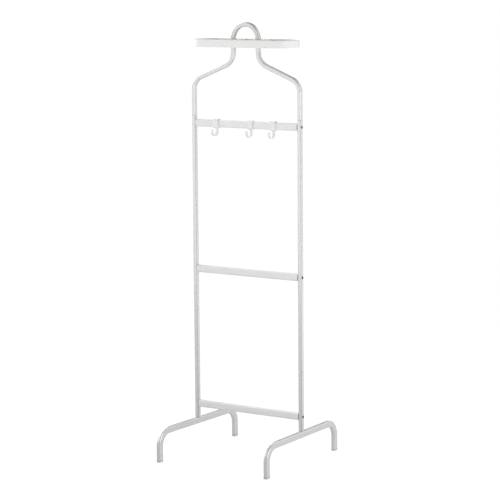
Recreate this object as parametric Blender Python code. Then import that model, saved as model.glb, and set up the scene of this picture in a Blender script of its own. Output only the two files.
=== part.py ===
"""Valet stand: a bent tube frame on two arched feet, with three crossbars, sliding hooks and a tray.

Metres, +Z up. X runs across the stand, -Y is its front, and the origin is on the floor under its middle.
"""
import math

import bmesh
import bpy
from mathutils import Vector

GAP = 0.0003                # air left between two pieces that touch
TOTAL_HEIGHT = 1.360

# Frame tube: a rounded square, bent in the X-Z plane
TUBE_SIZE = 0.014
TUBE_CORNER = 0.0035
TUBE_WALL = 0.0012
UPRIGHT_X = 0.1935          # centre line of an upright
NECK_X = 0.0455             # centre line of a neck leg, and the radius of the hand loop
SHOULDER_X = 0.1226         # a point half way down the shoulder
SHOULDER_Z = 1.2066
SHOULDER_SLOPE = 0.40       # fall per unit of width
NECK_BEND = 0.047
SHOULDER_BEND = 0.043
SEAM_Z = 1.067              # where the hanger tube meets the uprights

# Feet: a rectangular tube, bent the hard way in an upright plane
FOOT_WIDTH = 0.0135
FOOT_DEPTH = 0.020          # in the plane of the bend
FOOT_TOP_Z = 0.094          # centre line of the level run
FOOT_REACH = 0.206          # from the upright to the centre line of a leg
FOOT_BEND = 0.045
FOOT_TURN = math.radians(1.1)   # the toes point this much outward
CAP_OVERHANG = 0.0003
CAP_CORNER = 0.0038
CAP_HEIGHT = 0.006
CAP_PLUG_LENGTH = 0.014

# Crossbars: flat ovals between the uprights
BAR_HEIGHT = 0.024
BAR_DEPTH = 0.015
BAR_CORNER = 0.007
BAR_WALL = 0.0012
BAR_HEIGHTS = {"hook_bar": 1.0455, "middle_bar": 0.585, "lower_bar": 0.150}
BAR_PLUG_LENGTH = 0.030

# Joining pieces hidden in the tubes
SPIGOT_LENGTH = 0.090
SPIGOT_WALL = 0.0015
BASE_PLUG_LENGTH = 0.035

# Cap-head screws: shank radius, shank length, head radius, head height, socket across flats
BAR_SCREW = (0.0020, 0.028, 0.0035, 0.0040, 0.0030)
FOOT_SCREW = (0.0025, 0.030, 0.0042, 0.0048, 0.0040)
TRAY_SCREW = (0.0017, 0.050, 0.0031, 0.0024, 0.0020)
SHANK_CLEARANCE = 0.0003
BAR_ACCESS_RADIUS = 0.0046
FOOT_ACCESS_RADIUS = 0.0050

# Tray around the neck
TRAY_WIDTH = 0.360
TRAY_DEPTH = 0.116
TRAY_CORNER = 0.050
TRAY_LOW_Z = 1.284
TRAY_HIGH_Z = 1.307
TRAY_WALL = 0.003
TRAY_FLOOR = 0.0025
TRAY_CHAMFER = 0.002
SOCKET_WALL = 0.0025        # plastic on each side of a neck leg
DIVIDER_WIDTH = 0.003
RIB_DROP = 0.0005           # the ribs end this far below the rim

# Hooks on the hook bar
HOOK_X = {"hook_left": -0.110, "hook_middle": 0.017, "hook_right": 0.0985}
SLEEVE_LENGTH = 0.020
SLEEVE_WALL = 0.0024
SLEEVE_CLEARANCE = 0.00045
HOOK_STRIP_WIDTH = 0.010
HOOK_STRIP_THICKNESS = 0.003
HOOK_BACK_Y = 0.002
HOOK_RADIUS = 0.0135
HOOK_LOW_Z = -0.0375        # lowest point of the strip's centre line, from the bar's centre
HOOK_TIP_Z = -0.0185

CORNER_STEPS = 3
BAR_CORNER_STEPS = 4
BEND_STEPS = 8
CUT_SIDES = 16
SCREW_SIDES = 12             # a multiple of the six sides of a socket
SMOOTH_ANGLE = math.radians(35)


def clear_scene():
    for item in list(bpy.data.objects):
        bpy.data.objects.remove(item)


def material(name, colour, roughness, metallic=0.0):
    made = bpy.data.materials.new(name)
    made.use_nodes = True
    shader = made.node_tree.nodes["Principled BSDF"]
    shader.inputs["Base Color"].default_value = (*colour, 1.0)
    shader.inputs["Roughness"].default_value = roughness
    shader.inputs["Metallic"].default_value = metallic
    return made


# Outlines: closed lists of 2-D points, anticlockwise, starting at the right

def rounded_rectangle(width, height, radius, steps):
    points = []
    for quarter in range(4):
        side_x = 1 if quarter in (0, 3) else -1
        side_y = 1 if quarter in (0, 1) else -1
        centre = Vector((side_x * (width / 2 - radius), side_y * (height / 2 - radius)))
        for step in range(steps + 1):
            angle = math.pi / 2 * (quarter + step / steps)
            points.append(centre + radius * Vector((math.cos(angle), math.sin(angle))))
    return points


def inset_section(width, height, radius, inset, steps):
    return rounded_rectangle(width - 2 * inset, height - 2 * inset, radius - inset, steps)


def circle(radius, count):
    """A circle whose points face those of a rounded rectangle with the same number of points."""
    per_quarter = count // 4
    points = []
    for quarter in range(4):
        for step in range(per_quarter):
            angle = math.pi / 2 * (quarter + (step + 0.5) / per_quarter)
            points.append(radius * Vector((math.cos(angle), math.sin(angle))))
    return points


def hexagon(across_flats, count):
    """A hexagon with count points, which is a multiple of 6."""
    points = []
    for index in range(count):
        angle = math.tau * index / count
        from_flat = angle % (math.pi / 3) - math.pi / 6
        radius = across_flats / 2 / math.cos(from_flat)
        points.append(radius * Vector((math.cos(angle), math.sin(angle))))
    return points


def square_tube_section(size, inset=0.0):
    return inset_section(size, size, TUBE_CORNER, inset, CORNER_STEPS)


def foot_section(inset):
    """The outline of a foot tube, with its depth first."""
    return inset_section(FOOT_DEPTH, FOOT_WIDTH, TUBE_CORNER, inset, CORNER_STEPS)


def bar_section(inset):
    return inset_section(BAR_DEPTH, BAR_HEIGHT, BAR_CORNER, inset, BAR_CORNER_STEPS)


# Rings: outlines placed in space

def ring_x(outline, x):
    return [Vector((x, point.x, point.y)) for point in outline]


def ring_y(outline, y):
    return [Vector((point.x, y, point.y)) for point in outline]


def ring_z(outline, z):
    return [Vector((point.x, point.y, z)) for point in outline]


def loft(rings, closed=False):
    """Skins a row of rings with equal point counts, with flat ends or, if closed, back to the first ring."""
    mesh = bmesh.new()
    rows = [[mesh.verts.new(point) for point in ring] for ring in rings]
    pairs = list(zip(rows, rows[1:]))
    if closed:
        pairs.append((rows[-1], rows[0]))
    else:
        mesh.faces.new(rows[0])
        mesh.faces.new(rows[-1])
    for low, high in pairs:
        for index in range(len(low)):
            after = (index + 1) % len(low)
            mesh.faces.new((low[index], low[after], high[after], high[index]))
    bmesh.ops.recalc_face_normals(mesh, faces=mesh.faces)
    return mesh


def pipe(ring, outer, inner, low, high):
    """A straight hollow piece between two places along the axis that ring lays its outlines across."""
    return loft([ring(outer, low), ring(outer, high), ring(inner, high), ring(inner, low)], closed=True)


def joined(meshes):
    """Puts separate solids into one mesh."""
    whole = bmesh.new()
    for part in meshes:
        data = bpy.data.meshes.new("part")
        part.to_mesh(data)
        part.free()
        whole.from_mesh(data)
        bpy.data.meshes.remove(data)
    return whole


def place(name, mesh, parent, finish=None, location=(0, 0, 0), rotation=(0, 0, 0)):
    data = bpy.data.meshes.new(name)
    mesh.to_mesh(data)
    mesh.free()
    piece = bpy.data.objects.new(name, data)
    bpy.context.collection.objects.link(piece)
    piece.parent = parent
    piece.location = location
    piece.rotation_euler = rotation
    if finish:
        data.materials.append(finish)
        data.shade_smooth()
        data.set_sharp_from_angle(angle=SMOOTH_ANGLE)
    return piece


def combine(piece, helper_name, mesh, operation):
    """Cuts the mesh out of the piece, or adds it to the piece."""
    helper = place(helper_name, mesh, piece)
    helper.hide_render = True
    helper.display_type = "WIRE"
    step = piece.modifiers.new(helper_name, "BOOLEAN")
    step.operation = operation
    step.solver = "EXACT"
    step.object = helper


def rod_x(radius, x_low, x_high, z):
    outline = [point + Vector((0, z)) for point in circle(radius, CUT_SIDES)]
    return loft([ring_x(outline, x_low), ring_x(outline, x_high)])


def rod_y(radius, y_low, y_high, x, z):
    outline = [point + Vector((x, z)) for point in circle(radius, CUT_SIDES)]
    return loft([ring_y(outline, y_low), ring_y(outline, y_high)])


# Bent tubes

def filleted(corners, radii):
    """Points and directions along a flat line whose inner corners are rounded to the given radii."""
    stations = []
    directions = [(after - before).normalized() for before, after in zip(corners, corners[1:])]
    stations.append((corners[0], directions[0]))
    for index, radius in enumerate(radii):
        arriving = directions[index]
        leaving = directions[index + 1]
        turn = arriving.angle_signed(leaving)
        reach = radius * math.tan(abs(turn) / 2)
        start = corners[index + 1] - arriving * reach
        side = math.copysign(1, turn)
        to_centre = Vector((arriving.y, -arriving.x)) * side * radius
        centre = start + to_centre
        for step in range(BEND_STEPS + 1):
            angle = -turn * step / BEND_STEPS
            cos = math.cos(angle)
            sin = math.sin(angle)
            spoke = Vector((-to_centre.x * cos + to_centre.y * sin, -to_centre.x * sin - to_centre.y * cos))
            heading = Vector((arriving.x * cos - arriving.y * sin, arriving.x * sin + arriving.y * cos))
            stations.append((centre + spoke, heading))
    stations.append((corners[-1], directions[-1]))
    spaced = [stations[0]]
    for station in stations[1:]:
        if (station[0] - spaced[-1][0]).length > GAP:
            spaced.append(station)
    return spaced


def bent_tube(stations, outer, inner, to_space):
    """A hollow tube along flat stations, which to_space turns into points of the plane they lie in."""
    def rings(outline):
        made = []
        for centre, heading in stations:
            normal = Vector((heading.y, -heading.x))
            made.append([to_space(centre + normal * point.x, point.y) for point in outline])
        return made
    return loft(rings(outer) + rings(inner)[::-1], closed=True)


def make_hanger_tube(parent, paint):
    shoulder_rise = SHOULDER_SLOPE * (SHOULDER_X - NECK_X)
    shoulder_fall = SHOULDER_SLOPE * (UPRIGHT_X - SHOULDER_X)
    half = [
        Vector((UPRIGHT_X, SEAM_Z)),
        Vector((UPRIGHT_X, SHOULDER_Z - shoulder_fall)),
        Vector((NECK_X, SHOULDER_Z + shoulder_rise)),
        Vector((NECK_X, TOTAL_HEIGHT - TUBE_SIZE / 2)),
    ]
    corners = half + [Vector((-point.x, point.y)) for point in reversed(half)]
    radii = [SHOULDER_BEND, NECK_BEND, NECK_X, NECK_X, NECK_BEND, SHOULDER_BEND]
    tube = bent_tube(
        filleted(corners, radii),
        square_tube_section(TUBE_SIZE),
        square_tube_section(TUBE_SIZE, TUBE_WALL),
        lambda point, across: Vector((point.x, across, point.y)),
    )
    hanger = place("hanger_tube", tube, parent, paint)
    radius = TRAY_SCREW[0] + SHANK_CLEARANCE
    holes = [rod_y(radius, TUBE_SIZE / 4, TUBE_SIZE, side * NECK_X, tray_middle_z()) for side in (-1, 1)]
    combine(hanger, "hanger_screw_holes", joined(holes), "DIFFERENCE")


def make_foot(side, name, parent, paint, cap_plastic):
    cap_top = CAP_HEIGHT + GAP
    corners = [
        Vector((-FOOT_REACH, cap_top)),
        Vector((-FOOT_REACH, FOOT_TOP_Z)),
        Vector((FOOT_REACH, FOOT_TOP_Z)),
        Vector((FOOT_REACH, cap_top)),
    ]
    tube = bent_tube(
        filleted(corners, [FOOT_BEND, FOOT_BEND]),
        foot_section(0),
        foot_section(TUBE_WALL),
        lambda point, across: Vector((across, point.x, point.y)),
    )
    turn = side * FOOT_TURN
    foot = place(f"{name}_foot_tube", tube, parent, paint, (side * UPRIGHT_X, 0, 0), (0, 0, turn))
    shank_hole = circle(FOOT_SCREW[0] + SHANK_CLEARANCE, CUT_SIDES)
    access_hole = circle(FOOT_ACCESS_RADIUS, CUT_SIDES)
    start = FOOT_DEPTH / 4
    top = loft([ring_z(shank_hole, FOOT_TOP_Z + start), ring_z(shank_hole, FOOT_TOP_Z + FOOT_DEPTH)])
    bottom = loft([ring_z(access_hole, FOOT_TOP_Z - FOOT_DEPTH), ring_z(access_hole, FOOT_TOP_Z - start)])
    combine(foot, f"{name}_foot_holes", joined([top, bottom]), "DIFFERENCE")
    for end, where in ((-1, "front"), (1, "back")):
        reach = end * FOOT_REACH
        location = (side * UPRIGHT_X - reach * math.sin(turn), reach * math.cos(turn), 0)
        make_foot_cap(f"{name}_{where}_foot_cap", location, turn, parent, cap_plastic)


def make_foot_cap(name, location, turn, parent, cap_plastic):
    rim = CAP_HEIGHT / 6
    width = FOOT_WIDTH + 2 * CAP_OVERHANG
    depth = FOOT_DEPTH + 2 * CAP_OVERHANG
    shoe = rounded_rectangle(width, depth, CAP_CORNER, CORNER_STEPS)
    sole = inset_section(width, depth, CAP_CORNER, rim, CORNER_STEPS)
    plug = inset_section(FOOT_WIDTH, FOOT_DEPTH, TUBE_CORNER, TUBE_WALL + GAP, CORNER_STEPS)
    point = inset_section(FOOT_WIDTH, FOOT_DEPTH, TUBE_CORNER, TUBE_WALL + GAP + rim, CORNER_STEPS)
    cap = loft([
        ring_z(sole, 0),
        ring_z(shoe, rim),
        ring_z(shoe, CAP_HEIGHT),
        ring_z(plug, CAP_HEIGHT),
        ring_z(plug, CAP_HEIGHT + CAP_PLUG_LENGTH - rim),
        ring_z(point, CAP_HEIGHT + CAP_PLUG_LENGTH),
    ])
    place(name, cap, parent, cap_plastic, location, (0, 0, turn))


# Straight pieces of the frame

def foot_top():
    return FOOT_TOP_Z + FOOT_DEPTH / 2


def screw_holes(side, size, heights):
    """An access hole through the outer wall and a shank hole through the inner wall at each height."""
    holes = []
    reach = size / 2 + TUBE_WALL
    start = size / 4
    for z in heights:
        outer = sorted((side * start, side * reach))
        inner = sorted((-side * start, -side * reach))
        holes.append(rod_x(BAR_ACCESS_RADIUS, *outer, z))
        holes.append(rod_x(BAR_SCREW[0] + SHANK_CLEARANCE, *inner, z))
    return joined(holes)


def make_upright(side, name, parent, paint):
    outer = square_tube_section(TUBE_SIZE)
    inner = square_tube_section(TUBE_SIZE, TUBE_WALL)
    tube = pipe(ring_z, outer, inner, foot_top() + GAP, SEAM_Z - GAP)
    upright = place(f"{name}_upright_tube", tube, parent, paint, (side * UPRIGHT_X, 0, 0))
    holes = screw_holes(side, TUBE_SIZE, BAR_HEIGHTS.values())
    combine(upright, f"{name}_upright_holes", holes, "DIFFERENCE")


def make_spigot(side, name, parent, steel):
    fit = TUBE_WALL + GAP
    outer = square_tube_section(TUBE_SIZE, fit)
    inner = square_tube_section(TUBE_SIZE, fit + SPIGOT_WALL)
    tube = pipe(ring_z, outer, inner, SEAM_Z - SPIGOT_LENGTH / 2, SEAM_Z + SPIGOT_LENGTH / 2)
    spigot = place(f"{name}_joint_sleeve", tube, parent, steel, (side * UPRIGHT_X, 0, 0))
    holes = screw_holes(side, TUBE_SIZE - 2 * fit, [BAR_HEIGHTS["hook_bar"]])
    combine(spigot, f"{name}_sleeve_holes", holes, "DIFFERENCE")


def make_base_plug(side, name, parent, plastic):
    outer = square_tube_section(TUBE_SIZE, TUBE_WALL + GAP)
    bore = circle(FOOT_SCREW[0] + SHANK_CLEARANCE, len(outer))
    low = foot_top() + 2 * GAP
    plug = pipe(ring_z, outer, bore, low, low + BASE_PLUG_LENGTH)
    place(f"{name}_upright_base_plug", plug, parent, plastic, (side * UPRIGHT_X, 0, 0))


def make_crossbar(name, z, parent, paint):
    end = UPRIGHT_X - TUBE_SIZE / 2 - GAP
    bar = pipe(ring_x, bar_section(0), bar_section(BAR_WALL), -end, end)
    place(name, bar, parent, paint, (0, 0, z))


def make_bar_plug(name, side, z, parent, plastic):
    outer = bar_section(BAR_WALL + GAP)
    bore = circle(BAR_SCREW[0] + SHANK_CLEARANCE, len(outer))
    face = side * (UPRIGHT_X - TUBE_SIZE / 2 - GAP)
    plug = pipe(ring_x, outer, bore, face, face - side * BAR_PLUG_LENGTH)
    place(name, plug, parent, plastic, (0, 0, z))


def screw(size):
    """A cap-head screw along Z. Its head stands on Z = 0 and its shank hangs below."""
    shank_radius, length, head_radius, head_height, socket = size
    edge = head_radius / 10
    rings = [
        ring_z(circle(shank_radius * 0.7, SCREW_SIDES), -length),
        ring_z(circle(shank_radius, SCREW_SIDES), shank_radius - length),
        ring_z(circle(shank_radius, SCREW_SIDES), 0),
        ring_z(circle(head_radius, SCREW_SIDES), 0),
        ring_z(circle(head_radius, SCREW_SIDES), head_height - edge),
        ring_z(circle(head_radius - edge, SCREW_SIDES), head_height),
        ring_z(hexagon(socket, SCREW_SIDES), head_height),
        ring_z(hexagon(socket, SCREW_SIDES), head_height * 0.4),
    ]
    return loft(rings)


def make_bar_fixings(parent, plastic, steel):
    tube_seat = TUBE_SIZE / 2 - TUBE_WALL
    sleeve_seat = tube_seat - GAP - SPIGOT_WALL
    for bar, z in BAR_HEIGHTS.items():
        seat = sleeve_seat if bar == "hook_bar" else tube_seat
        for side, name in ((-1, "left"), (1, "right")):
            make_bar_plug(f"{bar}_{name}_plug", side, z, parent, plastic)
            location = (side * (UPRIGHT_X - seat + GAP), 0, z)
            outward = (0, side * math.pi / 2, 0)
            place(f"{bar}_{name}_screw", screw(BAR_SCREW), parent, steel, location, outward)


def make_foot_screw(side, name, parent, steel):
    seat = (side * UPRIGHT_X, 0, foot_top() - TUBE_WALL - GAP)
    downward = (math.pi, 0, 0)
    place(f"{name}_foot_screw", screw(FOOT_SCREW), parent, steel, seat, downward)


# Tray

def tray_middle_z():
    return (TRAY_LOW_Z + TRAY_HIGH_Z) / 2


def tray_outline(inset):
    return inset_section(TRAY_WIDTH, TRAY_DEPTH, TRAY_CORNER, inset, BEND_STEPS)


def block(x_low, x_high, y_low, y_high, z_low, z_high):
    corners = [(x_low, y_low), (x_high, y_low), (x_high, y_high), (x_low, y_high)]
    outline = [Vector(corner) for corner in corners]
    return loft([ring_z(outline, z_low), ring_z(outline, z_high)])


def neck_socket(centre_x, high_z):
    """A T in plan: a block around the neck leg, open to no side, and a divider from it to the front wall."""
    half_block = TUBE_SIZE / 2 + GAP + SOCKET_WALL
    half_divider = DIVIDER_WIDTH / 2
    back = TRAY_DEPTH / 2 - TRAY_WALL / 2
    front = -back
    corners = [
        (-half_divider, front), (half_divider, front),
        (half_divider, -half_block), (half_block, -half_block),
        (half_block, back), (-half_block, back),
        (-half_block, -half_block), (-half_divider, -half_block),
    ]
    outline = [Vector((centre_x + x, y)) for x, y in corners]
    return loft([ring_z(outline, TRAY_LOW_Z + TRAY_FLOOR / 2), ring_z(outline, high_z)])


def make_tray(parent, plastic):
    shell = loft([
        ring_z(tray_outline(TRAY_CHAMFER), TRAY_LOW_Z),
        ring_z(tray_outline(0), TRAY_LOW_Z + TRAY_CHAMFER),
        ring_z(tray_outline(0), TRAY_HIGH_Z),
        ring_z(tray_outline(TRAY_WALL), TRAY_HIGH_Z),
        ring_z(tray_outline(TRAY_WALL), TRAY_LOW_Z + TRAY_FLOOR),
    ])
    tray = place("tray", shell, parent, plastic)
    rib_top = TRAY_HIGH_Z - RIB_DROP
    sockets = [neck_socket(side * NECK_X, rib_top) for side in (-1, 1)]
    combine(tray, "tray_sockets", joined(sockets), "UNION")
    half_slot = TUBE_SIZE / 2 + GAP
    slots = []
    for side in (-1, 1):
        centre = side * NECK_X
        slots.append(block(centre - half_slot, centre + half_slot, -half_slot, TRAY_DEPTH,
                           TRAY_LOW_Z - TRAY_WALL, TRAY_HIGH_Z + TRAY_WALL))
    combine(tray, "tray_slots", joined(slots), "DIFFERENCE")


def make_tray_lock(side, name, parent, plastic):
    """Fills the slot behind a neck leg, with a stepped bore for its screw."""
    half = TUBE_SIZE / 2
    low = TRAY_LOW_Z + GAP
    high = TRAY_HIGH_Z - RIB_DROP
    middle = tray_middle_z()
    front = half + GAP
    back = TRAY_DEPTH / 2
    steps = CORNER_STEPS + 2
    outer = rounded_rectangle(2 * half, high - low, TUBE_CORNER / 2, steps)
    shift = (low + high) / 2 - middle
    outer = [point + Vector((0, shift)) for point in outer]
    bore = circle(TRAY_SCREW[0] + SHANK_CLEARANCE, len(outer))
    counterbore = circle(TRAY_SCREW[2] + SHANK_CLEARANCE, len(outer))
    step_y = back - 2 * TRAY_SCREW[3]
    lock = loft([
        ring_y(outer, front), ring_y(outer, back), ring_y(counterbore, back),
        ring_y(counterbore, step_y), ring_y(bore, step_y), ring_y(bore, front),
    ], closed=True)
    place(f"tray_lock_{name}", lock, parent, plastic, (side * NECK_X, 0, middle))
    return step_y


def make_tray_fixings(parent, plastic, steel):
    for side, name in ((-1, "left"), (1, "right")):
        seat = make_tray_lock(side, name, parent, plastic) + GAP
        location = (side * NECK_X, seat, tray_middle_z())
        place(f"tray_screw_{name}", screw(TRAY_SCREW), parent, steel, location, (-math.pi / 2, 0, 0))


# Hooks

def hook_strip():
    """The J of a hook: down from the sleeve, forward round a half circle and up to a blunt tip."""
    half = HOOK_STRIP_THICKNESS / 2
    centre_y = HOOK_BACK_Y - HOOK_RADIUS
    centre_z = HOOK_LOW_Z + HOOK_RADIUS
    root_z = -(BAR_HEIGHT / 2 + SLEEVE_CLEARANCE + SLEEVE_WALL / 2)
    outer = [Vector((HOOK_BACK_Y + half, root_z))]
    inner = [Vector((HOOK_BACK_Y - half, root_z))]
    steps = 2 * BEND_STEPS
    for step in range(steps + 1):
        angle = math.pi * step / steps
        spoke = Vector((math.cos(angle), -math.sin(angle)))
        centre = Vector((centre_y, centre_z))
        outer.append(centre + spoke * (HOOK_RADIUS + half))
        inner.append(centre + spoke * (HOOK_RADIUS - half))
    tip_y = HOOK_BACK_Y - 2 * HOOK_RADIUS
    tip = []
    for step in range(BEND_STEPS // 2 + 1):
        angle = math.pi - math.pi * step / (BEND_STEPS // 2)
        tip.append(Vector((tip_y + half * math.cos(angle), HOOK_TIP_Z + half * math.sin(angle))))
    outline = outer + tip + inner[::-1]
    width = HOOK_STRIP_WIDTH / 2
    return loft([ring_x(outline, -width), ring_x(outline, width)])


def make_hook(name, x, parent, plastic):
    outer = bar_section(-SLEEVE_CLEARANCE - SLEEVE_WALL)
    inner = bar_section(-SLEEVE_CLEARANCE)
    sleeve = pipe(ring_x, outer, inner, -SLEEVE_LENGTH / 2, SLEEVE_LENGTH / 2)
    hook = place(name, sleeve, parent, plastic, (x, 0, BAR_HEIGHTS["hook_bar"]))
    combine(hook, f"{name}_strip", hook_strip(), "UNION")


def main():
    clear_scene()
    stand = bpy.data.objects.new("valet_stand", None)
    bpy.context.collection.objects.link(stand)

    frame_paint = material("frame_paint", (0.80, 0.80, 0.76), 0.38)
    bar_paint = material("bar_paint", (0.84, 0.84, 0.84), 0.35)
    tray_plastic = material("tray_plastic", (0.88, 0.88, 0.87), 0.42)
    hook_plastic = material("hook_plastic", (0.87, 0.87, 0.86), 0.38)
    cap_plastic = material("foot_cap_plastic", (0.62, 0.62, 0.60), 0.55)
    plug_plastic = material("plug_plastic", (0.12, 0.12, 0.12), 0.60)
    screw_steel = material("screw_steel", (0.07, 0.07, 0.075), 0.45, 1.0)
    sleeve_steel = material("sleeve_steel", (0.55, 0.56, 0.57), 0.40, 1.0)

    make_hanger_tube(stand, frame_paint)
    for side, name in ((-1, "left"), (1, "right")):
        make_upright(side, name, stand, frame_paint)
        make_spigot(side, name, stand, sleeve_steel)
        make_foot(side, name, stand, frame_paint, cap_plastic)
        make_base_plug(side, name, stand, plug_plastic)
        make_foot_screw(side, name, stand, screw_steel)
    for name, z in BAR_HEIGHTS.items():
        make_crossbar(name, z, stand, bar_paint)
    make_bar_fixings(stand, plug_plastic, screw_steel)
    make_tray(stand, tray_plastic)
    make_tray_fixings(stand, tray_plastic, screw_steel)
    for name, x in HOOK_X.items():
        make_hook(name, x, stand, hook_plastic)


main()
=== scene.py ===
import math

import bmesh
import bpy
from mathutils import Matrix, Vector


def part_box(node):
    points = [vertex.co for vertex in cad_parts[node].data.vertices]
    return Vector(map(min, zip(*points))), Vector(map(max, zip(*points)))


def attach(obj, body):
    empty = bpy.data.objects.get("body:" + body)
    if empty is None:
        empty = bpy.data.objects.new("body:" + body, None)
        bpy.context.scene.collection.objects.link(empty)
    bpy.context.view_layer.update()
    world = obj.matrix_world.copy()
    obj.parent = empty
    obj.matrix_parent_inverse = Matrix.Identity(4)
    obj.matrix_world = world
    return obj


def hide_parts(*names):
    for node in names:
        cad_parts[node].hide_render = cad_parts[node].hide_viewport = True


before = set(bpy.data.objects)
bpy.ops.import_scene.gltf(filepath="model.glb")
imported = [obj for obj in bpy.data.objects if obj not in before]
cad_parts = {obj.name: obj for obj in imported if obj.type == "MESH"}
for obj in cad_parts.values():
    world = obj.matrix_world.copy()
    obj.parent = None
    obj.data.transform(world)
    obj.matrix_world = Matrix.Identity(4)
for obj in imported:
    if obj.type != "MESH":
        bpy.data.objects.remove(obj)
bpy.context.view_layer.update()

# Valet stand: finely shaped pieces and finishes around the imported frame. Metres, +Z up, -Y is the front.

GAP = 0.0003                # air left between two pieces that touch

# Frame tube, a rounded square
TUBE_CORNER = 0.0035
TUBE_WALL = 0.0012
TUBE_EDGE = 0.0004          # rounding of a cut tube end
HOLE_EDGE = 0.0003          # easing of a drilled hole's edge
NECK_X = 0.0455             # centre line of a neck leg, and the radius of the hand loop
SHOULDER_X = 0.1226         # a point half way down the shoulder
SHOULDER_Z = 1.2066
SHOULDER_SLOPE = 0.40       # fall per unit of width
NECK_BEND = 0.047
SHOULDER_BEND = 0.043

# Foot tube, a rounded rectangle
FOOT_WIDTH = 0.0135
FOOT_DEPTH = 0.020          # in the plane of its bends
FOOT_BEND = 0.045
FOOT_REACH = 0.206          # from the upright to the middle of a leg
FOOT_TURN = math.radians(1.1)   # the toes point this much outward

# Crossbars
BAR_CORNER = 0.007
BARS = ("hook_bar", "middle_bar", "lower_bar")

# Holes: what a screw's head goes in through, and what its shank passes
BAR_ACCESS_RADIUS = 0.0046
BAR_SHANK_RADIUS = 0.0023
FOOT_ACCESS_RADIUS = 0.0050
FOOT_SHANK_RADIUS = 0.0028
CUT_PAST = 0.01             # how far a cut runs on into the air

# Foot caps
CAP_OVERHANG = 0.0003
CAP_CORNER = 0.0038
CAP_HEIGHT = 0.006
CAP_EDGE = 0.0011
CAP_LIP = 0.0005
CAP_HOLLOW = 0.0006         # how deep the sole is hollowed

# Tray
TRAY_CORNER = 0.050
TRAY_WALL = 0.003
TRAY_FLOOR = 0.0025
TRAY_FOOT_EDGE = 0.0032     # rounding under the tray
TRAY_RIM_OUTER = 0.0013
TRAY_RIM_INNER = 0.0010
TRAY_FILLET = 0.0025        # inside, between floor and wall
SOCKET_WALL = 0.0025        # round a neck leg
DIVIDER_WIDTH = 0.003
RIB_DROP = 0.0005           # how far the sockets and dividers stay below the rim
RIB_CORNER = 0.0009
RIB_EDGE = 0.0006
LOCK_EDGE = 0.0006
MOULD_EDGE = 0.0005         # softening of the edges where moulded shapes meet

# Screws: socket across flats, as a share of the head's width, and its depth, as a share of its height
SOCKET_SHARE = 0.43
SOCKET_DEPTH = 0.6

# Hooks
SLEEVE_WALL = 0.0024
SLEEVE_CLEARANCE = 0.00045
SLEEVE_EDGE = 0.0008
STRIP_WIDTH = 0.010
STRIP_THICKNESS = 0.003
STRIP_CORNER = 0.0010
STRIP_FLARE = 1.35          # how much wider the strip is where it leaves the sleeve
FLARE_LENGTH = 0.005
FLARE_STEPS = 6             # along the straight stretch, where the flare is
TIP_STEPS = 5
TIP_SHRINK = 0.98           # leaves a small flat at the very end of the tip
HOOK_BACK_Y = 0.002         # centre line of the strip, from the bar's middle line
HOOK_RADIUS = 0.0135
HOOK_LOW_Z = -0.0375
HOOK_TIP_Z = -0.0185

# How finely things are rounded: steps to a right angle
CORNER_STEPS = 7
BAR_STEPS = 12
BEND_STEPS = 26
EDGE_STEPS = 3
HOLE_SIDES = 48             # to a full turn
SHARP_ANGLE = math.radians(38)      # an edge that turns more than this is shaded sharp
CREASE_ANGLE = math.radians(55)     # softened() rounds an edge that turns at least this much
WELD = 1e-7                 # points closer than this become one


# ---------------------------------------------------------------- outlines

def rounded_rectangle(width, height, radius, steps=CORNER_STEPS):
    points = []
    for quarter in range(4):
        side_x = 1 if quarter in (0, 3) else -1
        side_y = 1 if quarter in (0, 1) else -1
        centre = Vector((side_x * (width / 2 - radius), side_y * (height / 2 - radius)))
        for step in range(steps + 1):
            angle = math.pi / 2 * (quarter + step / steps)
            points.append(centre + radius * Vector((math.cos(angle), math.sin(angle))))
    return points


def inset_rectangle(width, height, radius, inset, steps=CORNER_STEPS):
    return rounded_rectangle(width - 2 * inset, height - 2 * inset, radius - inset, steps)


def circle(radius, count=HOLE_SIDES):
    return [radius * Vector((math.cos(math.tau * i / count), math.sin(math.tau * i / count)))
            for i in range(count)]


def hexagon(across_flats, count=HOLE_SIDES):
    points = []
    for index in range(count):
        angle = math.tau * index / count
        from_flat = angle % (math.pi / 3) - math.pi / 6
        radius = across_flats / 2 / math.cos(from_flat)
        points.append(radius * Vector((math.cos(angle), math.sin(angle))))
    return points


def square_cornered(corners, radius, inset, steps=EDGE_STEPS):
    """An outline of right angles, drawn in by inset, with every corner rounded."""
    points = []
    for index, corner in enumerate(corners):
        before = (corner - corners[index - 1]).normalized()
        after = (corners[(index + 1) % len(corners)] - corner).normalized()
        inward = Vector((-before.y, before.x)) + Vector((-after.y, after.x))
        outer = before.cross(after) > 0
        turn = radius - inset if outer else radius + inset
        start = corner + inward * inset - before * turn
        centre = start + Vector((-before.y, before.x)) * turn * (1 if outer else -1)
        spoke = start - centre
        for step in range(steps + 1):
            angle = math.pi / 2 * step / steps * (1 if outer else -1)
            cos = math.cos(angle)
            sin = math.sin(angle)
            points.append(centre + Vector((spoke.x * cos - spoke.y * sin, spoke.x * sin + spoke.y * cos)))
    return points


def edge_profile(radius):
    """Steps of a rounded edge, from the end face on: how far along, and how far in."""
    steps = []
    for step in range(EDGE_STEPS + 1):
        angle = math.pi / 2 * step / EDGE_STEPS
        steps.append((radius * (1 - math.cos(angle)), radius * (1 - math.sin(angle))))
    return steps


# ---------------------------------------------------------------- meshes

def ring_x(outline, x):
    return [Vector((x, point.x, point.y)) for point in outline]


def ring_y(outline, y):
    return [Vector((point.x, y, point.y)) for point in outline]


def ring_z(outline, z):
    return [Vector((point.x, point.y, z)) for point in outline]


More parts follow.
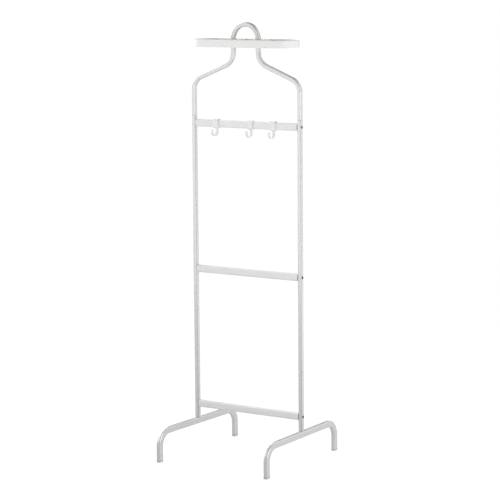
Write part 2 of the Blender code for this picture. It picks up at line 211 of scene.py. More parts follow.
def loft(rings, closed=False):
    """Skins a row of rings with equal point counts, with flat ends or, if closed, back to the first ring."""
    mesh = bmesh.new()
    rows = [[mesh.verts.new(point) for point in ring] for ring in rings]
    pairs = list(zip(rows, rows[1:]))
    if closed:
        pairs.append((rows[-1], rows[0]))
    else:
        mesh.faces.new(rows[0])
        mesh.faces.new(rows[-1])
    for low, high in pairs:
        for index in range(len(low)):
            after = (index + 1) % len(low)
            mesh.faces.new((low[index], low[after], high[after], high[index]))
    bmesh.ops.recalc_face_normals(mesh, faces=mesh.faces)
    return mesh


def filleted(corners, radii):
    """Points and directions along a flat line whose inner corners are rounded to the given radii."""
    directions = [(after - before).normalized() for before, after in zip(corners, corners[1:])]
    stations = [(corners[0], directions[0])]
    for index, radius in enumerate(radii):
        arriving = directions[index]
        turn = arriving.angle_signed(directions[index + 1])
        start = corners[index + 1] - arriving * radius * math.tan(abs(turn) / 2)
        to_centre = Vector((arriving.y, -arriving.x)) * math.copysign(radius, turn)
        centre = start + to_centre
        steps = max(4, round(BEND_STEPS * abs(turn) / (math.pi / 2)))
        for step in range(steps + 1):
            angle = -turn * step / steps
            cos = math.cos(angle)
            sin = math.sin(angle)
            spoke = Vector((-to_centre.x * cos + to_centre.y * sin, -to_centre.x * sin - to_centre.y * cos))
            heading = Vector((arriving.x * cos - arriving.y * sin, arriving.x * sin + arriving.y * cos))
            stations.append((centre + spoke, heading))
    stations.append((corners[-1], directions[-1]))
    spaced = [stations[0]]
    for station in stations[1:]:
        if (station[0] - spaced[-1][0]).length > GAP:
            spaced.append(station)
    return spaced


def tube(stations, section, wall, to_space):
    """A hollow tube with rounded ends along flat stations. section gives its outline at an inset."""
    def ring(centre, heading, outline):
        normal = Vector((heading.y, -heading.x))
        return [to_space(centre + normal * point.x, point.y) for point in outline]
    rings = []
    start, start_heading = stations[0]
    end, end_heading = stations[-1]
    for along, inward in edge_profile(TUBE_EDGE):
        rings.append(ring(start + start_heading * along, start_heading, section(inward)))
    for centre, heading in stations[1:-1]:
        rings.append(ring(centre, heading, section(0)))
    for along, inward in reversed(edge_profile(TUBE_EDGE)):
        rings.append(ring(end - end_heading * along, end_heading, section(inward)))
    for centre, heading in reversed(stations):
        rings.append(ring(centre, heading, section(wall)))
    return loft(rings, closed=True)


def rod_x(radius, x_low, x_high, y, z):
    outline = [point + Vector((y, z)) for point in circle(radius)]
    return loft([ring_x(outline, x_low), ring_x(outline, x_high)])


def rod_y(radius, y_low, y_high, x, z):
    outline = [point + Vector((x, z)) for point in circle(radius)]
    return loft([ring_y(outline, y_low), ring_y(outline, y_high)])


def rod_z(radius, z_low, z_high, x, y):
    outline = [point + Vector((x, y)) for point in circle(radius)]
    return loft([ring_z(outline, z_low), ring_z(outline, z_high)])


def to_object(name, mesh):
    data = bpy.data.meshes.new(name)
    mesh.to_mesh(data)
    mesh.free()
    made = bpy.data.objects.new(name, data)
    bpy.context.scene.collection.objects.link(made)
    return made


def combined(mesh, tools):
    """The mesh after each (tool, operation) of tools has been applied to it."""
    base = to_object("base", mesh)
    helpers = []
    for tool, operation in tools:
        helper = to_object("tool", tool)
        step = base.modifiers.new("step", "BOOLEAN")
        step.operation = operation
        step.solver = "EXACT"
        step.object = helper
        helpers.append(helper)
    bpy.context.view_layer.update()
    graph = bpy.context.evaluated_depsgraph_get()
    data = bpy.data.meshes.new_from_object(base.evaluated_get(graph))
    result = bmesh.new()
    result.from_mesh(data)
    for item in [base] + helpers:
        used = item.data
        bpy.data.objects.remove(item)
        bpy.data.meshes.remove(used)
    bpy.data.meshes.remove(data)
    bmesh.ops.remove_doubles(result, verts=result.verts, dist=WELD)
    return result


def softened(mesh, width, where=None):
    """Rounds the sharp edges of a mesh, all of them or those whose middle passes the test."""
    edges = []
    for edge in mesh.edges:
        if len(edge.link_faces) != 2 or edge.calc_face_angle() < CREASE_ANGLE:
            continue
        centre = (edge.verts[0].co + edge.verts[1].co) / 2
        if where is None or where(centre):
            edges.append(edge)
    bmesh.ops.bevel(mesh, geom=edges, offset=width, offset_type="OFFSET", segments=2, profile=0.5,
                    affect="EDGES", clamp_overlap=True)
    return mesh


def make(name, mesh, finish, nodes, body="stand", bare_and_shaded_inside=None):
    """The last argument tells from the middle of a face whether it is one on the inside of a tube; those
    faces take bare steel made near-black, painted shade in the hollow.
    """
    piece = to_object(name, mesh)
    piece.data.materials.append(finish)
    if bare_and_shaded_inside:
        # faces inside the tube get bare steel darkened to near-black: painted shade in the hollow
        piece.data.materials.append(RAW_STEEL_AND_SHADE)
        for face in piece.data.polygons:
            face.material_index = int(bare_and_shaded_inside(face.center))
    piece.data.shade_smooth()
    piece.data.set_sharp_from_angle(angle=SHARP_ANGLE)
    flat = piece.modifiers.new("even_faces", "WEIGHTED_NORMAL")
    flat.keep_sharp = True
    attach(piece, body)
    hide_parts(*nodes)
    return piece


def measured(node):
    """Lowest corner, highest corner, middle and size of a node."""
    low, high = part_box(node)
    return low, high, (low + high) / 2, high - low


# ---------------------------------------------------------------- finishes

def add_node(tree, kind, values=None, links=None, **settings):
    made = tree.nodes.new(kind)
    for key, value in settings.items():
        setattr(made, key, value)
    for key, value in (values or {}).items():
        made.inputs[key].default_value = value
    for key, socket in (links or {}).items():
        tree.links.new(socket, made.inputs[key])
    return made


def noise(tree, place, scale, detail=2.0, distortion=0.0):
    values = {"Scale": scale, "Detail": detail, "Distortion": distortion}
    return add_node(tree, "ShaderNodeTexNoise", values, {"Vector": place}).outputs["Fac"]


def remapped(tree, value, low, high, from_low=0.3, from_high=0.7):
    values = {"From Min": from_low, "From Max": from_high, "To Min": low, "To Max": high}
    return add_node(tree, "ShaderNodeMapRange", values, {"Value": value}).outputs["Result"]


def blended(tree, factor, first, second):
    """A colour between first and second, each a colour or a socket."""
    mix = add_node(tree, "ShaderNodeMix", links={"Factor": factor}, data_type="RGBA")
    for index, colour in ((6, first), (7, second)):
        if isinstance(colour, tuple):
            mix.inputs[index].default_value = (*colour, 1.0)
        else:
            tree.links.new(colour, mix.inputs[index])
    return mix.outputs[2]


# The largest part of a normal, on the middle of a rounded corner and on a flat face
CORNER_NORMAL = 0.72
FLAT_NORMAL = 0.97


def corner_share(tree):
    """About 0 on faces square to an axis and 1 on rounded corners between them."""
    normal = add_node(tree, "ShaderNodeNewGeometry").outputs["Normal"]
    size = add_node(tree, "ShaderNodeVectorMath", links={0: normal}, operation="ABSOLUTE").outputs[0]
    parts = add_node(tree, "ShaderNodeSeparateXYZ", links={0: size})
    largest = add_node(tree, "ShaderNodeMath", links={0: parts.outputs[0], 1: parts.outputs[1]},
                       operation="MAXIMUM").outputs[0]
    largest = add_node(tree, "ShaderNodeMath", links={0: largest, 1: parts.outputs[2]},
                       operation="MAXIMUM").outputs[0]
    return remapped(tree, largest, 1.0, 0.0, CORNER_NORMAL, FLAT_NORMAL)


def finish_of(name, colour, second_colour, roughness, grain, depth, stretch=(1, 1, 1), patch=24.0,
              worn_colour=None, wear=0.0, **shader_values):
    """A finish with patches of a second colour, a fine bumpy grain and varying roughness.

    roughness is a (low, high) pair, grain and patch are spots to a metre, depth is the grain's height.
    """
    made = bpy.data.materials.new(name)
    made.use_nodes = True
    tree = made.node_tree
    shader = tree.nodes["Principled BSDF"]
    place = add_node(tree, "ShaderNodeTexCoord").outputs["Object"]
    place = add_node(tree, "ShaderNodeMapping", {"Scale": stretch}, {"Vector": place}).outputs[0]
    patches = remapped(tree, noise(tree, place, patch, 4.0), 0.0, 1.0)
    paint = blended(tree, patches, colour, second_colour)
    if worn_colour:
        scuffs = noise(tree, place, patch * 9, 5.0)
        links = {0: corner_share(tree), 1: remapped(tree, scuffs, 0, wear)}
        edge = add_node(tree, "ShaderNodeMath", {}, links, operation="MULTIPLY").outputs[0]
        paint = blended(tree, edge, paint, worn_colour)
    tree.links.new(paint, shader.inputs["Base Color"])
    smudges = noise(tree, place, patch * 3, 3.0, 0.6)
    tree.links.new(remapped(tree, smudges, *roughness), shader.inputs["Roughness"])
    height = noise(tree, place, grain, 2.0)
    bump = add_node(tree, "ShaderNodeBump", {"Strength": 1.0, "Distance": depth}, {"Height": height})
    tree.links.new(bump.outputs[0], shader.inputs["Normal"])
    for key, value in shader_values.items():
        shader.inputs[key.replace("_", " ")].default_value = value
    return made


FRAME_PAINT = finish_of(
    "pearl_frame_paint", (0.705, 0.707, 0.688), (0.685, 0.687, 0.668), (0.20, 0.28), 1800, 0.0000015,
    worn_colour=(0.76, 0.76, 0.74), wear=0.4, Metallic=0.42)
BAR_PAINT = finish_of(
    "white_bar_paint", (0.86, 0.86, 0.855), (0.83, 0.83, 0.825), (0.28, 0.38), 1800, 0.0000025,
    worn_colour=(0.89, 0.89, 0.89), wear=0.4, Coat_Weight=0.3, Coat_Roughness=0.12)
TRAY_PLASTIC = finish_of(
    "white_tray_plastic", (0.87, 0.87, 0.86), (0.85, 0.85, 0.84), (0.36, 0.46), 2600, 0.00003, patch=14)
HOOK_PLASTIC = finish_of(
    "white_hook_plastic", (0.88, 0.88, 0.875), (0.86, 0.86, 0.855), (0.20, 0.30), 1500, 0.00001, patch=60)
CAP_PLASTIC = finish_of(
    "grey_cap_plastic", (0.60, 0.60, 0.59), (0.54, 0.54, 0.53), (0.50, 0.62), 2200, 0.00005, patch=90,
    worn_colour=(0.66, 0.66, 0.65), wear=0.6)
PLUG_PLASTIC = finish_of(
    "black_plug_plastic", (0.055, 0.055, 0.057), (0.035, 0.035, 0.036), (0.45, 0.60), 2000, 0.00004,
    patch=80)
SCREW_STEEL = finish_of(
    "black_screw_steel", (0.030, 0.029, 0.031), (0.050, 0.048, 0.046), (0.36, 0.50), 3000, 0.00002,
    patch=200, worn_colour=(0.14, 0.13, 0.125), wear=0.6, Metallic=1.0)
# Bare steel for the inside of the tubes, near-black as painted shade: the hollow behind the access holes is
# dark by its colour, not by light
RAW_STEEL_AND_SHADE = finish_of(
    "raw_steel_and_painted_shade", (0.060, 0.060, 0.062), (0.040, 0.039, 0.039), (0.50, 0.70), 1500, 0.00002,
    stretch=(1, 1, 0.05), patch=90, Metallic=0.6)
SLEEVE_STEEL = finish_of(
    "brushed_sleeve_steel", (0.56, 0.57, 0.58), (0.48, 0.49, 0.50), (0.26, 0.42), 900, 0.00002,
    stretch=(1, 1, 0.04), patch=120, Metallic=1.0)


# ---------------------------------------------------------------- frame tubes

hanger_low, hanger_high, _, _ = measured("hanger_tube")
_, _, upright_middle, upright_size = measured("right_upright_tube")
TUBE_SIZE = upright_size.x
UPRIGHT_X = upright_middle.x
SEAM_Z = hanger_low.z
TOTAL_HEIGHT = hanger_high.z


def square_section(size):
    return lambda inset: inset_rectangle(size, size, TUBE_CORNER, inset)


def across_stand(point, across):
    return Vector((point.x, across, point.y))


def make_hanger():
    rise = SHOULDER_SLOPE * (SHOULDER_X - NECK_X)
    fall = SHOULDER_SLOPE * (UPRIGHT_X - SHOULDER_X)
    half = [
        Vector((UPRIGHT_X, SEAM_Z)),
        Vector((UPRIGHT_X, SHOULDER_Z - fall)),
        Vector((NECK_X, SHOULDER_Z + rise)),
        Vector((NECK_X, TOTAL_HEIGHT - TUBE_SIZE / 2)),
    ]
    corners = half + [Vector((-point.x, point.y)) for point in reversed(half)]
    radii = [SHOULDER_BEND, NECK_BEND, NECK_X, NECK_X, NECK_BEND, SHOULDER_BEND]
    mesh = tube(filleted(corners, radii), square_section(TUBE_SIZE), TUBE_WALL, across_stand)
    make("hanger", mesh, FRAME_PAINT, ["hanger_tube"])


def make_upright(side, name):
    low, high, _, _ = measured(f"{name}_upright_tube")
    x = side * UPRIGHT_X
    line = [(Vector((x, low.z)), Vector((0, 1))), (Vector((x, high.z)), Vector((0, 1)))]
    mesh = tube(line, square_section(TUBE_SIZE), TUBE_WALL, across_stand)
    cuts = []
    start = TUBE_SIZE / 4
    reach = TUBE_SIZE
    for bar in BARS:
        z = measured(bar)[2].z
        cuts.append((rod_x(BAR_ACCESS_RADIUS, x + side * start, x + side * reach, 0, z), "DIFFERENCE"))
        cuts.append((rod_x(BAR_SHANK_RADIUS, x - side * start, x - side * reach, 0, z), "DIFFERENCE"))
    mesh = combined(mesh, cuts)
    heights = [measured(bar)[2].z for bar in BARS]
    outer_face = UPRIGHT_X + TUBE_SIZE / 2 - TUBE_WALL / 2

    def at_access_hole(at):
        return abs(at.x) > outer_face and min(abs(at.z - z) for z in heights) < 2 * BAR_ACCESS_RADIUS

    softened(mesh, HOLE_EDGE, at_access_hole)
    inner_face = TUBE_SIZE / 2 - TUBE_WALL * 0.75
    # Inside faces take the near-black bare steel, painted shade seen through the access holes
    make(f"{name}_upright", mesh, FRAME_PAINT, [f"{name}_upright_tube"],
         bare_and_shaded_inside=lambda at: max(abs(at.x - x), abs(at.y)) < inner_face)


def make_foot(side, name):
    """The foot tube and its two caps, shaped square to the stand and then turned."""
    low, high, _, _ = measured(f"{name}_foot_tube")
    top = high.z - FOOT_DEPTH / 2
    corners = [
        Vector((-FOOT_REACH, low.z)),
        Vector((-FOOT_REACH, top)),
        Vector((FOOT_REACH, top)),
        Vector((FOOT_REACH, low.z)),
    ]
    mesh = tube(filleted(corners, [FOOT_BEND, FOOT_BEND]),
                lambda inset: inset_rectangle(FOOT_DEPTH, FOOT_WIDTH, TUBE_CORNER, inset), TUBE_WALL,
                lambda point, across: Vector((across, point.x, point.y)))
    start = FOOT_DEPTH / 4
    mesh = combined(mesh, [
        (rod_z(FOOT_SHANK_RADIUS, top + start, top + FOOT_DEPTH, 0, 0), "DIFFERENCE"),
        (rod_z(FOOT_ACCESS_RADIUS, top - FOOT_DEPTH, top - start, 0, 0), "DIFFERENCE"),
    ])
    lowest = top - FOOT_DEPTH / 2 + TUBE_WALL / 2
    softened(mesh, HOLE_EDGE, lambda at: abs(at.y) < 2 * FOOT_ACCESS_RADIUS and at.z < lowest)
    turned = Matrix.Translation((side * UPRIGHT_X, 0, 0)) @ Matrix.Rotation(side * FOOT_TURN, 4, "Z")
    bmesh.ops.transform(mesh, matrix=turned, verts=mesh.verts)
    make(f"{name}_foot", mesh, FRAME_PAINT, [f"{name}_foot_tube"])
    for end, where in ((-1, "front"), (1, "back")):
        make_cap(f"{name}_{where}_foot_cap", turned @ Matrix.Translation((0, end * FOOT_REACH, 0)))


def make_cap(node, placed):
    low, high, _, _ = measured(node)

    def shoe(inset):
        width = FOOT_WIDTH + 2 * CAP_OVERHANG
        return inset_rectangle(width, FOOT_DEPTH + 2 * CAP_OVERHANG, CAP_CORNER, inset)

    def plug(inset):
        return inset_rectangle(FOOT_WIDTH, FOOT_DEPTH, TUBE_CORNER, TUBE_WALL + GAP + inset)

    rings = [
        ring_z(shoe(CAP_EDGE + 2 * CAP_HOLLOW), low.z + CAP_HOLLOW),
        ring_z(shoe(CAP_EDGE + CAP_HOLLOW), low.z),
    ]
    for along, inward in edge_profile(CAP_EDGE):
        rings.append(ring_z(shoe(inward), low.z + along))
    for along, inward in reversed(edge_profile(CAP_LIP)):
        rings.append(ring_z(shoe(inward), low.z + CAP_HEIGHT - along))
    rings.append(ring_z(plug(0), low.z + CAP_HEIGHT))
    rings.append(ring_z(plug(0), high.z - CAP_EDGE))
    rings.append(ring_z(plug(CAP_EDGE), high.z))
    mesh = loft(rings)
    bmesh.ops.transform(mesh, matrix=placed, verts=mesh.verts)
    make(f"{node}_shaped", mesh, CAP_PLASTIC, [node])


def make_bar(node):
    low, high, centre, size = measured(node)
    line = [(Vector((low.x, centre.z)), Vector((1, 0))), (Vector((high.x, centre.z)), Vector((1, 0)))]

    def section(inset):
        return inset_rectangle(size.z, size.y, BAR_CORNER, inset, BAR_STEPS)

    mesh = tube(line, section, TUBE_WALL, across_stand)
    make(f"{node}_shaped", mesh, BAR_PAINT, [node])


# ---------------------------------------------------------------- screws

# shank radius and head height of each kind of screw
SCREW_KINDS = {"bar": (0.0020, 0.0040), "foot": (0.0025, 0.0048), "tray": (0.0017, 0.0024)}


def make_screw(node, kind, axis):
    """A cap-head screw with a hexagon socket. axis is the direction that its head faces."""
    low, high, centre, size = measured(node)
    along = max(range(3), key=lambda index: abs(axis[index]))
    head_radius = min(size[index] for index in range(3) if index != along) / 2
    shank_radius, head_height = SCREW_KINDS[kind]
    shank = size[along] - head_height
    edge = head_radius / 8
    rings = [
        ring_z(circle(shank_radius * 0.7), -shank),
        ring_z(circle(shank_radius), shank_radius - shank),
        ring_z(circle(shank_radius), 0),
    ]
    for forward, inward in edge_profile(edge / 2):
        rings.append(ring_z(circle(head_radius - inward), forward))
    for forward, inward in reversed(edge_profile(edge)):
        rings.append(ring_z(circle(head_radius - inward), head_height - forward))
    socket = 2 * head_radius * SOCKET_SHARE
    rings.append(ring_z(circle(socket / math.sqrt(3) + edge / 2), head_height))
    rings.append(ring_z(hexagon(socket), head_height - edge / 2))
    rings.append(ring_z(hexagon(socket), head_height * (1 - SOCKET_DEPTH)))
    mesh = loft(rings)
    turn = Vector((0, 0, 1)).rotation_difference(Vector(axis)).to_matrix().to_4x4()
    end = Vector(centre)
    end[along] = high[along] if axis[along] > 0 else low[along]
    shift = Matrix.Translation(end - Vector(axis) * head_height)
    bmesh.ops.transform(mesh, matrix=shift @ turn, verts=mesh.verts)
    make(f"{node}_shaped", mesh, SCREW_STEEL, [node])


# ---------------------------------------------------------------- tray

def make_tray():
    low, high, _, size = measured("tray")
    floor_z = low.z + TRAY_FLOOR

    def outline(inset):
        return inset_rectangle(size.x, size.y, TRAY_CORNER, inset, 2 * BEND_STEPS)

    rings = []
    for along, inward in edge_profile(TRAY_FOOT_EDGE):
        rings.append(ring_z(outline(inward), low.z + along))
    for along, inward in reversed(edge_profile(TRAY_RIM_OUTER)):
        rings.append(ring_z(outline(inward), high.z - along))
    for along, inward in edge_profile(TRAY_RIM_INNER):
        rings.append(ring_z(outline(TRAY_WALL - inward), high.z - along))
    for along, inward in reversed(edge_profile(TRAY_FILLET)):
        rings.append(ring_z(outline(TRAY_WALL + inward), floor_z + along))
    shell = loft(rings)

    tools = []
    top = high.z - RIB_DROP
    half_block = TUBE_SIZE / 2 + GAP + SOCKET_WALL
    half_divider = DIVIDER_WIDTH / 2
    back = size.y / 2 - TRAY_WALL / 2
    for side in (-1, 1):
        corners = [
            (-half_divider, -back), (half_divider, -back),
            (half_divider, -half_block), (half_block, -half_block),
            (half_block, back), (-half_block, back),
            (-half_block, -half_block), (-half_divider, -half_block),
        ]
        corners = [Vector((side * NECK_X + x, y)) for x, y in corners]
        rings = [ring_z(square_cornered(corners, RIB_CORNER, 0), low.z + TRAY_FLOOR / 2)]
        for along, inward in reversed(edge_profile(RIB_EDGE)):
            rings.append(ring_z(square_cornered(corners, RIB_CORNER, inward), top - along))
        tools.append((loft(rings), "UNION"))
    half_slot = TUBE_SIZE / 2 + GAP
    for side in (-1, 1):
        x = side * NECK_X
        corners = [Vector((x - half_slot, -half_slot)), Vector((x + half_slot, -half_slot)),
                   Vector((x + half_slot, size.y)), Vector((x - half_slot, size.y))]
        outline_points = square_cornered(corners, TUBE_CORNER, 0, CORNER_STEPS)
        slot = loft([ring_z(outline_points, low.z - TRAY_WALL), ring_z(outline_points, high.z + TRAY_WALL)])
        tools.append((slot, "DIFFERENCE"))
    mesh = combined(shell, tools)
    softened(mesh, MOULD_EDGE)
    make("tray_shaped", mesh, TRAY_PLASTIC, ["tray"])


def make_lock(name):
    node = f"tray_lock_{name}"
    low, high, centre, size = measured(node)

    def outline(inset):
        return [point + Vector((centre.x, centre.z)) for point in
                inset_rectangle(size.x, size.z, TUBE_CORNER / 2, inset)]

    rings = []
    for along, inward in edge_profile(LOCK_EDGE):
        rings.append(ring_y(outline(inward), low.y + along))
    for along, inward in reversed(edge_profile(LOCK_EDGE)):
        rings.append(ring_y(outline(inward), high.y - along))
    mesh = loft(rings)
    _, screw_high, screw_middle, screw_size = measured(f"tray_screw_{name}")
    seat = screw_high.y - SCREW_KINDS["tray"][1] - GAP
    head_hole = rod_y(screw_size.x / 2 + GAP, seat, high.y + CUT_PAST, centre.x, screw_middle.z)
    shank_hole = rod_y(SCREW_KINDS["tray"][0] + GAP, low.y - CUT_PAST, high.y, centre.x, screw_middle.z)
    mesh = combined(mesh, [(head_hole, "DIFFERENCE"), (shank_hole, "DIFFERENCE")])
    softened(mesh, HOLE_EDGE)
    make(f"{node}_shaped", mesh, TRAY_PLASTIC, [node])


# ---------------------------------------------------------------- hooks

def strip_rings(centre_x, bar_z, half_bar):
    """Rings of the hook's J, from inside the sleeve's wall, down, forward and up to a rounded tip."""
    half = STRIP_THICKNESS / 2
    root = Vector((HOOK_BACK_Y, -half_bar - SLEEVE_CLEARANCE - SLEEVE_WALL / 2))
    bend_centre = Vector((HOOK_BACK_Y - HOOK_RADIUS, HOOK_LOW_Z + HOOK_RADIUS))
    path = []
    for step in range(FLARE_STEPS):
        share = step / FLARE_STEPS
        path.append((root.lerp(Vector((HOOK_BACK_Y, bend_centre.y)), share), Vector((0, -1))))
    steps = 2 * BEND_STEPS
    for step in range(steps + 1):
        angle = math.pi * step / steps
        spoke = Vector((math.cos(angle), -math.sin(angle)))
        path.append((bend_centre + spoke * HOOK_RADIUS, Vector((-math.sin(angle), -math.cos(angle)))))
    tip_y = HOOK_BACK_Y - 2 * HOOK_RADIUS
    path.append((Vector((tip_y, HOOK_TIP_Z)), Vector((0, 1))))
    rings = []
    for centre, heading in path:
        below = root.y - centre.y
        flare = max(0.0, 1 - below / FLARE_LENGTH) ** 2 if centre.x > bend_centre.x else 0.0
        width = STRIP_WIDTH * (1 + (STRIP_FLARE - 1) * flare)
        thick = STRIP_THICKNESS * (1 + (STRIP_FLARE - 1) * flare)
        rings.append((centre, heading, width, thick, STRIP_CORNER))
    for step in range(1, TIP_STEPS + 1):
        angle = math.pi / 2 * step / TIP_STEPS
        shrink = half * (1 - math.cos(angle)) * TIP_SHRINK
        rings.append((Vector((tip_y, HOOK_TIP_Z + half * math.sin(angle))), Vector((0, 1)),
                      STRIP_WIDTH - 2 * shrink, STRIP_THICKNESS - 2 * shrink,
                      max(STRIP_CORNER - shrink, STRIP_CORNER / 20)))
    placed = []
    for centre, heading, width, thick, corner in rings:
        normal = Vector((heading.y, -heading.x))
        outline = rounded_rectangle(width, thick, corner, EDGE_STEPS)
        placed.append([Vector((centre_x + point.x, centre.x + normal.x * point.y,
                               bar_z + centre.y + normal.y * point.y)) for point in outline])
    return placed


def make_hook(node, body):
    low, high, centre, _ = measured(node)
    _, _, bar_middle, bar_size = measured("hook_bar")

    def section(out):
        return [point + Vector((0, bar_middle.z)) for point in
                inset_rectangle(bar_size.y, bar_size.z, BAR_CORNER, -out, BAR_STEPS)]

    outer = SLEEVE_CLEARANCE + SLEEVE_WALL
    rings = []
    for along, inward in edge_profile(SLEEVE_EDGE):
        rings.append(ring_x(section(outer - inward), low.x + along))
    for along, inward in reversed(edge_profile(SLEEVE_EDGE)):
        rings.append(ring_x(section(outer - inward), high.x - along))
    for along, inward in edge_profile(SLEEVE_EDGE / 2):
        rings.append(ring_x(section(SLEEVE_CLEARANCE + inward), high.x - along))
    for along, inward in reversed(edge_profile(SLEEVE_EDGE / 2)):
        rings.append(ring_x(section(SLEEVE_CLEARANCE + inward), low.x + along))
    sleeve = loft(rings, closed=True)
    strip = loft(strip_rings(centre.x, bar_middle.z, bar_size.z / 2))
    mesh = combined(sleeve, [(strip, "UNION")])
    softened(mesh, MOULD_EDGE)
    make(f"{node}_shaped", mesh, HOOK_PLASTIC, [node], body)


make_hanger()
for side, name in ((-1, "left"), (1, "right")):
    make_upright(side, name)
    make_foot(side, name)
    for bar in BARS:
        make_screw(f"{bar}_{name}_screw", "bar", (side, 0, 0))
    make_screw(f"{name}_foot_screw", "foot", (0, 0, -1))
    make_screw(f"tray_screw_{name}", "tray", (0, 1, 0))
    make_lock(name)
for bar in BARS:
    make_bar(bar)
make_tray()
for place in ("left", "middle", "right"):
    make_hook(f"hook_{place}", f"{place}_hook")

# Pieces hidden in the tubes keep their solids and take a finish
for node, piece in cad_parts.items():
    if piece.hide_render:
        continue
    hidden_finish = SLEEVE_STEEL if node.endswith("_sleeve") else PLUG_PLASTIC
    for slot in piece.material_slots:
        slot.material = hidden_finish


# ---------------------------------------------------------------- floor, light and camera

FLOOR_SIZE = 400.0
CAMERA_LENS = 145.14        # on a 36 mm sensor
CAMERA_AZIMUTH = 33.10      # degrees from the front, round by the right side
CAMERA_PITCH = 8.22         # degrees above the level
CAMERA_ROLL = -0.4645       # degrees
CAMERA_DISTANCE = 6.252     # from the target
CAMERA_TARGET = Vector((0.0095, 0.0, 0.657))

# Soft light in the sky. Directions are degrees from the front round by the right side, and above the horizon
SKY_FILL = 0.15
PATCH_RADIUS = 32           # degrees
SKY_PATCHES = (
    # name, direction, height, brightness
    ("right_front", 60, 28, 0.8),
    ("right", 90, 20, 1.6),
    ("back_right", 150, 28, 0.9),
    ("back_left", 240, 28, 2.5),
    ("left", 265, 28, 3.0),
    ("front_left", 300, 28, 1.5),
    ("front", 330, 10, 0.5),
)
# What the floor gives back. Discs round the stand, largest first: radius, and brightness, which adds up
FLOOR_DISCS = ((3.0, 0.75), (0.9, -0.1))
# Beyond the largest disc: direction in degrees, and brightness straight out that way
FLOOR_FAR = ((0, 1.7), (180, 0.65))
# Soft boxes: name, place and watts
PANELS = (
    ("right_low", (1.5, -0.2, 0.5), 9.0),
    ("left_high", (-1.5, -0.2, 1.25), 8.0),
    ("back_right", (1.3, 1.6, 0.7), 2.6),
)
PANEL_SIZE = 1.4
FLOOR_TONE = 0.12           # the share of the floor's look that light and shadow make
FLOOR_GLOW = 0.93


def compass(azimuth, elevation):
    """The direction that lies azimuth degrees from the front, round by the right side."""
    around = math.radians(azimuth)
    above = math.radians(elevation)
    return Vector((math.sin(around) * math.cos(above), -math.cos(around) * math.cos(above), math.sin(above)))


def math_node(tree, operation, first, second):
    made = add_node(tree, "ShaderNodeMath", operation=operation)
    for index, value in enumerate((first, second)):
        if isinstance(value, (int, float)):
            made.inputs[index].default_value = value
        else:
            tree.links.new(value, made.inputs[index])
    return made.outputs[0]


def dot_with(tree, vector, direction):
    made = add_node(tree, "ShaderNodeVectorMath", {1: direction}, {0: vector}, operation="DOT_PRODUCT")
    return made.outputs["Value"]


def make_floor():
    """A pale floor. It looks white, and lights the stand a little unevenly, as a studio floor does."""
    mesh = bmesh.new()
    bmesh.ops.create_grid(mesh, x_segments=2, y_segments=2, size=FLOOR_SIZE / 2)
    floor = to_object("floor", mesh)
    finish = bpy.data.materials.new("studio_floor")
    finish.use_nodes = True
    tree = finish.node_tree
    tree.nodes.clear()
    place = add_node(tree, "ShaderNodeTexCoord").outputs["Object"]
    distance = add_node(tree, "ShaderNodeVectorMath", links={0: place}, operation="LENGTH").outputs["Value"]
    outward = add_node(tree, "ShaderNodeVectorMath", links={0: place}, operation="NORMALIZE").outputs[0]
    total = 0.0
    for radius, strength in FLOOR_DISCS:
        inside = math_node(tree, "LESS_THAN", distance, radius)
        total = math_node(tree, "ADD", math_node(tree, "MULTIPLY", inside, strength), total)
    beyond = math_node(tree, "GREATER_THAN", distance, FLOOR_DISCS[0][0])
    for direction, strength in FLOOR_FAR:
        facing = math_node(tree, "MAXIMUM", dot_with(tree, outward, compass(direction, 0)), 0.0)
        far = math_node(tree, "MULTIPLY", math_node(tree, "MULTIPLY", facing, strength), beyond)
        total = math_node(tree, "ADD", far, total)
    given = add_node(tree, "ShaderNodeEmission", links={"Strength": total}).outputs[0]
    glow = add_node(tree, "ShaderNodeEmission", {"Strength": FLOOR_GLOW}).outputs[0]
    pale = (FLOOR_TONE, FLOOR_TONE, FLOOR_TONE, 1)
    tone = add_node(tree, "ShaderNodeBsdfDiffuse", {"Color": pale}).outputs[0]
    look = add_node(tree, "ShaderNodeAddShader", links={0: glow, 1: tone}).outputs[0]
    seen = add_node(tree, "ShaderNodeLightPath").outputs["Is Camera Ray"]
    mixed = add_node(tree, "ShaderNodeMixShader", links={0: seen, 1: given, 2: look}).outputs[0]
    add_node(tree, "ShaderNodeOutputMaterial", links={"Surface": mixed})
    floor.data.materials.append(finish)


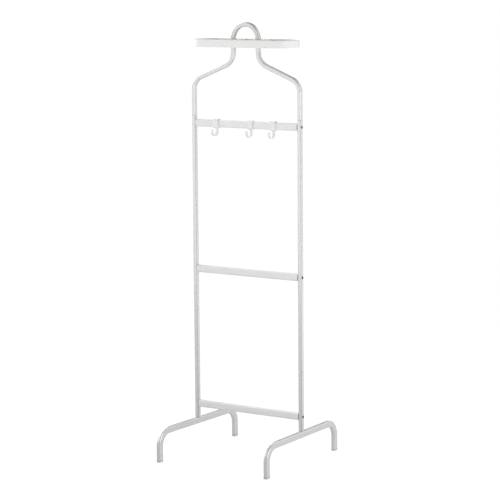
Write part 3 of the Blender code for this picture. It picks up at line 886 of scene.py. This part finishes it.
def make_world():
    """A white backdrop all round, and soft patches of light where a studio has its lamps."""
    world = bpy.data.worlds.new("studio")
    bpy.context.scene.world = world
    world.use_nodes = True
    tree = world.node_tree
    background = tree.nodes["Background"]
    place = add_node(tree, "ShaderNodeTexCoord").outputs["Generated"]
    total = SKY_FILL
    edge = math.cos(math.radians(PATCH_RADIUS))
    for name, direction, height, brightness in SKY_PATCHES:
        near = dot_with(tree, place, compass(direction, height))
        values = {"From Min": edge, "From Max": 1.0, "To Min": 0.0, "To Max": brightness}
        patch = add_node(tree, "ShaderNodeMapRange", values, {"Value": near},
                         interpolation_type="SMOOTHSTEP", label=name)
        total = math_node(tree, "ADD", patch.outputs["Result"], total)
    seen = add_node(tree, "ShaderNodeLightPath").outputs["Is Camera Ray"]
    tree.links.new(math_node(tree, "MAXIMUM", total, seen), background.inputs["Strength"])
    background.inputs["Color"].default_value = (1, 1, 1, 1)


def make_panel(name, position, power):
    """A soft box that faces the stand's middle line."""
    data = bpy.data.lights.new(name, "AREA")
    data.shape = "SQUARE"
    data.size = PANEL_SIZE
    data.energy = power
    panel = bpy.data.objects.new(name, data)
    bpy.context.scene.collection.objects.link(panel)
    panel.location = position
    aim = Vector((0, 0, position[2])) - Vector(position)
    panel.rotation_euler = aim.to_track_quat("-Z", "Y").to_euler()
    panel.visible_camera = False


def make_camera():
    back = compass(CAMERA_AZIMUTH, CAMERA_PITCH)
    level_right = compass(CAMERA_AZIMUTH + 90, 0)
    level_up = level_right.cross(-back)
    roll = math.radians(CAMERA_ROLL)
    right = math.cos(roll) * level_right + math.sin(roll) * level_up
    up = -math.sin(roll) * level_right + math.cos(roll) * level_up
    camera = bpy.data.objects.new("camera", bpy.data.cameras.new("camera"))
    camera.data.lens = CAMERA_LENS
    camera.data.clip_end = 2 * FLOOR_SIZE
    bpy.context.scene.collection.objects.link(camera)
    turn = Matrix((right, up, back)).transposed().to_4x4()
    camera.matrix_world = Matrix.Translation(CAMERA_TARGET + back * CAMERA_DISTANCE) @ turn
    bpy.context.scene.camera = camera


make_floor()
make_world()
for panel in PANELS:
    make_panel(*panel)
make_camera()
bpy.context.scene.view_settings.view_transform = "Standard"
